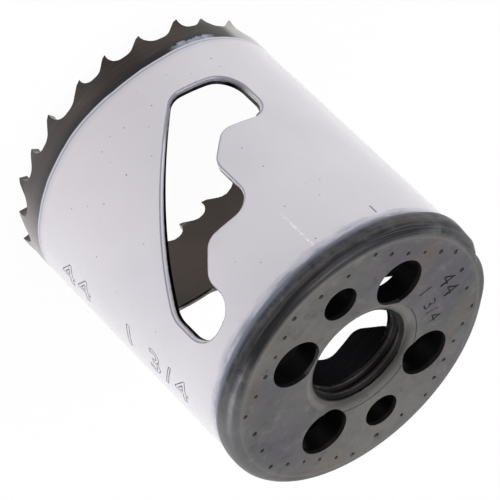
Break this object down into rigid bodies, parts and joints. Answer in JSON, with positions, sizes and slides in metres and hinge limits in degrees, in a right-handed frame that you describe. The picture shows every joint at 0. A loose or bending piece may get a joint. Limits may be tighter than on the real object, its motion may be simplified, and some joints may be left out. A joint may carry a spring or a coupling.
{
  "type": "hole saw",
  "caption": "Cup-shaped hole saw: rolled toothed wall with stepped slug windows, thick drilled back plate and a rounded edge weld.",
  "frame": {"origin": "on the saw's axis, in the plane of the tooth tips that it stands on", "axes": "+Z along the saw's axis, from the teeth to the back plate; the front slug window is centred 2.8 degrees from -Y towards -X"},
  "size_m": [0.0436, 0.0436, 0.0504],
  "materials": {
    "painted_wall": "pale glossy paint on the outside, bare dark steel on the teeth and inside",
    "plate_steel": "dark heat-blackened steel, satin",
    "weld_steel": "fused dark steel with heat tint, satin"
  },
  "bodies": {
    "root": {"toothed_wall": "painted_wall", "back_plate": "plate_steel", "edge_weld": "weld_steel"}
  },
  "joints": []
}
